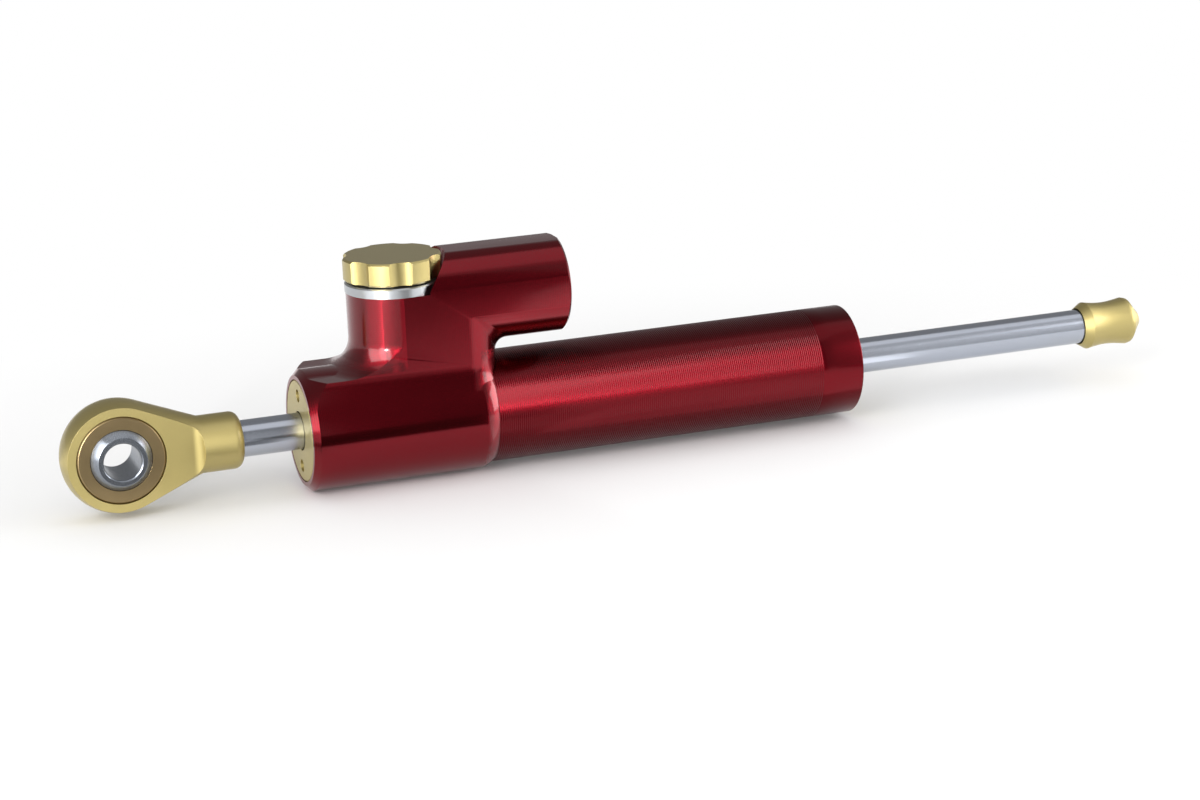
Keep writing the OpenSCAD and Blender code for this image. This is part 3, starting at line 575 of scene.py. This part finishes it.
def moulded(name, colour, roughness, grain_size):
    """Moulded rubber or seal polymer: matt, with a fine grain."""
    material, tree, shader = new_material(name)
    fine = grain_and_cloud(tree, shader, colour, roughness, grain_size, unevenness=0.12)
    normal = add_node(tree, "ShaderNodeBump", {"Height": fine, "Distance": MOULDED_GRAIN_DEPTH})
    feed(tree, shader, {"Normal": normal.outputs["Normal"]})
    return material


def nitrile_rubber():
    """Black nitrile rubber of the O-rings."""
    return moulded(
        "nitrile rubber, moulded", linear("#141414"), roughness=0.6, grain_size=0.15 * MM
    )


def seal_polymer():
    """Dark hard polymer of the seals, wipers and the piston's ring."""
    return moulded(
        "seal polyurethane, moulded", linear("#23262E"), roughness=0.45, grain_size=0.2 * MM
    )


SLOT_FINISHES = {
    "red_anodised": red_anodised_block,
    "gold_anodised": gold_anodised_turned,
    "bare_aluminium": bare_turned,
    "chromed_rod": hard_chrome,
    "bearing_steel": bearing_steel,
    "bronze": bronze,
    "rubber": nitrile_rubber,
    "seal_polymer": seal_polymer,
    "piston_steel": machined_steel,
    "black_steel": black_steel,
}
made_finishes = {}


def finish_for(slot):
    """The material of a slot of the record, made once."""
    if slot not in made_finishes:
        made_finishes[slot] = SLOT_FINISHES[slot]()
    return made_finishes[slot]


def slot_of(node):
    """The record's material slot of a CAD node."""
    return next(s["material_slot"] for s in frame["record"]["subparts"] if s["node"] == node)


# ---- Meshes ----


def eased(outline, radius, steps):
    """A closed outline with its corners rounded, each by at most a third of its shorter side."""
    points = [Vector(p) for p in outline]
    rounded = []
    for i, corner in enumerate(points):
        before, after = points[i - 1] - corner, points[(i + 1) % len(points)] - corner
        turn = before.angle(after)
        if turn > STRAIGHT:
            rounded.append(corner)
            continue
        reach = min(radius / math.tan(turn / 2), before.length / 3, after.length / 3)
        a, b = corner + before.normalized() * reach, corner + after.normalized() * reach
        for k in range(steps + 1):
            t = k / steps
            rounded.append(a * (1 - t) ** 2 + corner * 2 * t * (1 - t) + b * t * t)
    return [tuple(p) for p in rounded]


def smooth_by_angle(mesh, crease):
    """Shades a mesh smooth, with edges sharper than the crease left crisp."""
    mesh.shade_smooth()
    mesh.set_sharp_from_angle(angle=crease)


def piece(name, mesh, node, material=None):
    """Links a mesh as a piece that stands for a CAD node, with its finish, slot and body."""
    obj = bpy.data.objects.new(name, mesh)
    bpy.context.scene.collection.objects.link(obj)
    mesh.materials.clear()
    mesh.materials.append(material or finish_for(slot_of(node)))
    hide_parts(node)
    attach(obj, frame["nodes"][node]["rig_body"])
    return obj


def turned(outline, segments):
    """A closed outline of (place along the rod, radius) turned round the rod, in metres."""
    mesh = bpy.data.meshes.new("turned")
    build = bmesh.new()
    rings = []
    for s in range(segments):
        angle = 2 * math.pi * s / segments
        rings.append(
            [build.verts.new((x, r * math.cos(angle), r * math.sin(angle))) for x, r in outline]
        )
    for s in range(segments):
        a, b = rings[s], rings[(s + 1) % segments]
        for k in range(len(outline)):
            m = (k + 1) % len(outline)
            build.faces.new((a[k], a[m], b[m], b[k]))
    bmesh.ops.recalc_face_normals(build, faces=build.faces)
    build.to_mesh(mesh)
    build.free()
    smooth_by_angle(mesh, TURNED_CREASE)
    return mesh


def eased_copy(node, name, radius, material=None):
    """A piece from a CAD node's mesh, with its crisp edges broken by a small radius."""
    mesh = frame["nodes"][node].data.copy()
    build = bmesh.new()
    build.from_mesh(mesh)
    bmesh.ops.remove_doubles(build, verts=build.verts, dist=WELD)
    build.to_mesh(mesh)
    build.free()
    if mesh.has_custom_normals:
        mesh.attributes.remove(mesh.attributes["custom_normal"])
    smooth_by_angle(mesh, SOLID_CREASE)
    obj = piece(name, mesh, node, material)
    edge = obj.modifiers.new("edge break", "BEVEL")
    edge.width = radius
    edge.segments = 2
    edge.limit_method = "ANGLE"
    edge.angle_limit = SOLID_CREASE
    edge.miter_outer = "MITER_ARC"
    obj.modifiers.new("weighted normals", "WEIGHTED_NORMAL").keep_sharp = True


class DAMPER_OT_housing(bpy.types.Operator):
    """Housing with its machined edges broken, and the seal heads in it"""

    bl_idname = "damper.housing"
    bl_label = "Housing"

    def execute(self, context):
        radius = context.scene.damper_sizes.edge_break
        eased_copy("housing", "housing_block", radius)
        eased_copy("left_seal_head", "left_head", radius / 2)
        eased_copy("right_seal_head", "right_head", radius / 2)
        return {"FINISHED"}


class DAMPER_OT_tube(bpy.types.Operator):
    """Tube with its turned grooves, and the plain land at its free end"""

    bl_idname = "damper.tube"
    bl_label = "Grooved tube"

    def execute(self, context):
        sizes = context.scene.damper_sizes
        seam, end = HOUSING_LOW.x + BARREL_LENGTH, TUBE_HIGH.x
        outside, bore = TUBE_HIGH.z, TUBE_HIGH.z - TUBE_WALL
        land = end - sizes.land_length
        count = int((land - seam) / sizes.groove_pitch)
        pitch = (land - seam) / count
        grooves = [
            (seam + (i + place) * pitch, outside - share * sizes.groove_depth)
            for i in range(count)
            for place, share in GROOVE_PROFILE
        ]
        corners = [(land + RIM_LEAD, outside), (end, outside), (end, bore), (end - RIM_DEPTH, bore)]
        # The first corner only leads into the rim, so just its last point is kept
        rim = eased(corners, RIM_RADIUS, RIM_STEPS)[RIM_STEPS:]
        outline = [(seam, outside - SEAM_RING), *grooves, (land, outside), *rim, (seam, bore)]
        piece("grooved_tube", turned(outline, TUBE_SEGMENTS), "damper_tube", red_anodised_turned())
        return {"FINISHED"}


class DAMPER_OT_adjuster(bpy.types.Operator):
    """Scalloped knob and the bare ring under it"""

    bl_idname = "damper.adjuster"
    bl_label = "Adjuster"

    def execute(self, context):
        radius = context.scene.damper_sizes.edge_break / 2
        eased_copy("adjuster_knob", "knob", radius, gold_anodised_knob())
        eased_copy("adjuster_gland", "gland_ring", radius)
        return {"FINISHED"}


class DAMPER_OT_rod_end(bpy.types.Operator):
    """Rod end with its race and ball"""

    bl_idname = "damper.rod_end"
    bl_label = "Rod end"

    def execute(self, context):
        radius = context.scene.damper_sizes.edge_break
        eased_copy("rod_end", "eye", radius * 1.5)
        eased_copy("bearing_race", "race", radius / 3)
        eased_copy("bearing_ball", "ball", radius / 3)
        return {"FINISHED"}


class DAMPER_OT_rod(bpy.types.Operator):
    """Bumper cap on the rod's free end"""

    bl_idname = "damper.rod"
    bl_label = "Bumper cap"

    def execute(self, context):
        eased_copy("bumper_cap", "cap", context.scene.damper_sizes.edge_break)
        return {"FINISHED"}


class DAMPER_OT_solids(bpy.types.Operator):
    """Finish of the solids that keep their own shape"""

    bl_idname = "damper.solids"
    bl_label = "Other solids"

    def execute(self, context):
        for name, obj in frame["nodes"].items():
            obj.data.materials.clear()
            obj.data.materials.append(finish_for(slot_of(name)))
        return {"FINISHED"}


# ---- Stage ----

# The camera stands where the photograph was taken from, in the part's frame
CAMERA_PLACE = Vector((-0.09657, -0.57842, 0.17107))
CAMERA_TURN = math.radians(19.49)
CAMERA_DIP = math.radians(15.77)
CAMERA_ROLL = math.radians(-2.22)
CAMERA_LENS = 85.8
CAMERA_CLIP = (0.01, 20)

# The lamps and screens face this point
TARGET = Vector((0.09, 0.0, 0.01))

FLOOR_RADIUS = 6.0
FLOOR_SIDES = 96
FLOOR_GAP = 0.05 * MM  # between the part and the floor
# The paper takes shadow up to the first distance from a point before the part, and is plain
# white from the second
SHADOW_CENTRE = TARGET - Vector((0, 0.14, 0))
SHADOW_REACH = (0.2, 0.3)

# Name, azimuth, elevation, distance, width, height and radiance of each lamp
SOFTBOXES = (
    ("left softbox", -44, 20, 0.75, 0.34, 0.6, 6.5),
    ("left bulb", -41, 4, 0.74, 0.05, 0.05, 330.0),
    ("right softbox", 74, 14, 0.6, 0.45, 0.34, 5.0),
)

# Name, distance, two elevations, two azimuths and level of each curved card
SCREENS = (
    ("left panel", 0.75, 0, 42, -84, -57, 5.0),
    ("right panel", 0.58, 0, 30, 56, 94, 6.0),
    ("front screen", 1.4, 0.2, 57, -20, 70, 0.5),
    ("left screen", 1.4, 20, 57, -70, -20, 0.35),
    ("far left screen", 1.4, 2, 57, -100, -70, 0.35),
    ("back screen", 1.4, 2, 82, 112, 260, 0.3),
)
SCREEN_STEPS = 48

# The flat cards are in millimetres. Two stand before the block, to darken what it mirrors: name,
# left and right ends, y, lower and upper edges, and level. A lower edge of None is on the floor
STANDING_CARDS = (
    ("dark board", 88, 175, -200, None, 290, 0.06),
    ("dark strip", 32, 86, -28, -5.6, 2.2, 0.06),
)

# The others lie over the floor: name, height over it, corners, level, and fade or None
LYING_CARDS = (
    # The floor dims towards the front
    (
        "dim floor card",
        0.5,
        ((60, -85), (700, -85), (700, -1390), (60, -1390)),
        0.25,
        (-85, -170, 1.0),
    ),
    # Only the tube mirrors this one. It lies right of the line past which the block sees itself
    (
        "tube's floor card",
        1.0,
        ((86, -16), (190, -16), (640, -1390), (566, -1390)),
        1.4,
        (-130, -160, 1.8),
    ),
    # The rod end's flat face mirrors this one
    ("rod end's floor card", 1.0, ((-12, -20), (38, -20), (61, -85), (-12, -85)), 0.2, None),
    # This one, before the tube, lights the rounded edge of the neck and the barrel's end
    ("bright floor card", 1.5, ((98, -18), (130, -18), (130, -60), (98, -60)), 1.5, None),
)


def add_camera(scene):
    """The camera at the photograph's viewing angle."""
    data = bpy.data.cameras.new("camera")
    data.lens = CAMERA_LENS
    data.clip_start, data.clip_end = CAMERA_CLIP
    camera = bpy.data.objects.new("camera", data)
    scene.collection.objects.link(camera)
    camera.matrix_world = (
        Matrix.Translation(CAMERA_PLACE)
        @ Matrix.Rotation(-CAMERA_TURN, 4, "Z")
        @ Matrix.Rotation(math.pi / 2 - CAMERA_DIP, 4, "X")
        @ Matrix.Rotation(CAMERA_ROLL, 4, "Z")
    )
    scene.camera = camera


def add_floor(scene):
    """White paper that takes the part's shadow, and is plain white to the eye further out."""
    mesh = bpy.data.meshes.new("floor")
    build = bmesh.new()
    bmesh.ops.create_circle(build, cap_ends=True, radius=FLOOR_RADIUS, segments=FLOOR_SIDES)
    build.to_mesh(mesh)
    build.free()
    material, tree, shader = new_material("white paper")
    colour = tuple(scene.damper_colours.floor)
    feed(tree, shader, {"Base Color": colour, "Roughness": 0.9, "Specular IOR Level": 0.1})
    where = add_node(tree, "ShaderNodeTexCoord").outputs["Object"]
    centred = add_node(
        tree, "ShaderNodeVectorMath", {0: where, 1: tuple(SHADOW_CENTRE)}, operation="SUBTRACT"
    )
    away = add_node(tree, "ShaderNodeVectorMath", {0: centred.outputs[0]}, operation="LENGTH")
    start, end = SHADOW_REACH
    far_off = add_node(
        tree,
        "ShaderNodeMapRange",
        {"Value": away.outputs["Value"], "From Min": start, "From Max": end},
        interpolation_type="SMOOTHSTEP",
    )
    # The camera, gloss and glass see the plain white, and it lights nothing
    path = add_node(tree, "ShaderNodeLightPath")
    seen = path.outputs["Is Camera Ray"]
    for ray in ("Is Glossy Ray", "Is Transmission Ray"):
        seen = add_node(
            tree, "ShaderNodeMath", {0: seen, 1: path.outputs[ray]}, operation="MAXIMUM"
        ).outputs[0]
    share = add_node(
        tree, "ShaderNodeMath", {0: far_off.outputs["Result"], 1: seen}, operation="MULTIPLY"
    )
    white = add_node(tree, "ShaderNodeEmission", {"Color": (1, 1, 1, 1), "Strength": 1.0})
    blend = add_node(
        tree,
        "ShaderNodeMixShader",
        {0: share.outputs[0], 1: shader.outputs[0], 2: white.outputs[0]},
    )
    feed(tree, tree.nodes["Material Output"], {"Surface": blend.outputs[0]})
    mesh.materials.append(material)
    floor = bpy.data.objects.new("floor", mesh)
    floor.location = (0, 0, CAD_LOW.z - FLOOR_GAP)
    scene.collection.objects.link(floor)


def add_world(scene):
    """An even white studio round the part."""
    world = bpy.data.worlds.new("studio")
    world.use_nodes = True
    tree = world.node_tree
    tree.nodes.clear()
    sky = add_node(tree, "ShaderNodeBackground", {"Color": (1, 1, 1, 1), "Strength": 1.0})
    out = add_node(tree, "ShaderNodeOutputWorld", {"Surface": sky.outputs[0]})
    out.is_active_output = True
    scene.world = world


def around(azimuth, elevation, distance):
    """A point round the target. Azimuth 0 is in front, and 90 to the right, in degrees."""
    a, e = math.radians(azimuth), math.radians(elevation)
    out, up = math.cos(e), math.sin(e)
    return TARGET + distance * Vector((math.sin(a) * out, -math.cos(a) * out, up))


def add_softbox(name, azimuth, elevation, distance, width, height, radiance):
    """A rectangular lamp of even brightness that faces the target."""
    data = bpy.data.lights.new(name, "AREA")
    data.shape = "RECTANGLE"
    data.size, data.size_y = width, height
    # An area lamp's power is its radiance times its area times pi
    data.energy = radiance * width * height * math.pi
    lamp = bpy.data.objects.new(name, data)
    bpy.context.scene.collection.objects.link(lamp)
    place = around(azimuth, elevation, distance)
    facing = (TARGET - place).to_track_quat("-Z", "Y").to_matrix().to_4x4()
    lamp.matrix_world = Matrix.Translation(place) @ facing


def add_card(name, points, faces, level, fade=None):
    """A card that only gloss shows. Its points are in metres.

    fade is near y and far y, in millimetres, and the level at near y.
    """
    mesh = bpy.data.meshes.new(name)
    mesh.from_pydata(points, [], faces)
    material, tree, shader = new_material(name + " felt")
    tree.nodes.remove(shader)
    glow = add_node(
        tree, "ShaderNodeEmission", {"Color": (1.0, 1.0, 1.0, 1.0), "Strength": level}
    )
    feed(tree, tree.nodes["Material Output"], {"Surface": glow.outputs[0]})
    if fade:
        near, far, near_level = fade
        where = add_node(tree, "ShaderNodeTexCoord").outputs["Object"]
        place = add_node(tree, "ShaderNodeSeparateXYZ", {"Vector": where})
        strength = add_node(
            tree,
            "ShaderNodeMapRange",
            {
                "Value": place.outputs["Y"],
                "From Min": far * MM,
                "From Max": near * MM,
                "To Min": level,
                "To Max": near_level,
            },
            interpolation_type="SMOOTHSTEP",
        )
        feed(tree, glow, {"Strength": strength.outputs["Result"]})
    mesh.materials.append(material)
    card = bpy.data.objects.new(name, mesh)
    bpy.context.scene.collection.objects.link(card)
    card.visible_camera = False
    card.visible_diffuse = False
    card.visible_shadow = False
    card.visible_transmission = False


def add_screen(name, radius, low, high, start, end, level):
    """A curved card round the target, between two elevations and two azimuths."""
    points = []
    for i in range(SCREEN_STEPS + 1):
        azimuth = start + (end - start) * i / SCREEN_STEPS
        points += [around(azimuth, elevation, radius) for elevation in (low, high)]
    faces = [(2 * i, 2 * i + 2, 2 * i + 3, 2 * i + 1) for i in range(SCREEN_STEPS)]
    add_card(name, points, faces, level)


def add_flat_card(name, corners, level, fade=None):
    """A flat card with four corners, in millimetres."""
    add_card(name, [Vector(c) * MM for c in corners], [(0, 1, 2, 3)], level, fade)


class DAMPER_OT_stage(bpy.types.Operator):
    """Camera, pale floor, soft lamps and cards"""

    bl_idname = "damper.stage"
    bl_label = "Stage"

    def execute(self, context):
        scene = context.scene
        scene.view_settings.view_transform = "Standard"
        add_camera(scene)
        add_floor(scene)
        add_world(scene)
        for softbox in SOFTBOXES:
            add_softbox(*softbox)
        for screen in SCREENS:
            add_screen(*screen)
        bottom = CAD_LOW.z / MM
        for name, left, right, y, low, high, level in STANDING_CARDS:
            low = bottom if low is None else low
            corners = [(left, y, low), (right, y, low), (right, y, high), (left, y, high)]
            add_flat_card(name, corners, level)
        for name, lift, corners, level, fade in LYING_CARDS:
            add_flat_card(name, [(x, y, bottom + lift) for x, y in corners], level, fade)
        return {"FINISHED"}


class DAMPER_PT_panel(bpy.types.Panel):
    """Sizes, colours and the pieces in the order that they are made"""

    bl_idname = "DAMPER_PT_panel"
    bl_label = "Steering damper"
    bl_space_type = "VIEW_3D"
    bl_region_type = "UI"
    bl_category = "Damper"

    def draw(self, context):
        for group in (context.scene.damper_sizes, context.scene.damper_colours):
            for key in group.__annotations__:
                self.layout.prop(group, key)
        for operator in OPERATORS:
            self.layout.operator(operator.bl_idname)


OPERATORS = (
    DAMPER_OT_stage,
    DAMPER_OT_solids,
    DAMPER_OT_housing,
    DAMPER_OT_tube,
    DAMPER_OT_adjuster,
    DAMPER_OT_rod_end,
    DAMPER_OT_rod,
)
CLASSES = (DamperSizes, DamperColours, *OPERATORS, DAMPER_PT_panel)


def register():
    """Registers the classes and gives the scene its sizes and colours."""
    for cls in CLASSES:
        bpy.utils.register_class(cls)
    bpy.types.Scene.damper_sizes = PointerProperty(type=DamperSizes)
    bpy.types.Scene.damper_colours = PointerProperty(type=DamperColours)


def unregister():
    """Takes back what register gave."""
    del bpy.types.Scene.damper_sizes
    del bpy.types.Scene.damper_colours
    for cls in reversed(CLASSES):
        bpy.utils.unregister_class(cls)


def main():
    """Makes the stage and the pieces in order."""
    register()
    for operator in OPERATORS:
        group, name = operator.bl_idname.split(".")
        getattr(getattr(bpy.ops, group), name)()


if __name__ == "__main__":
    main()
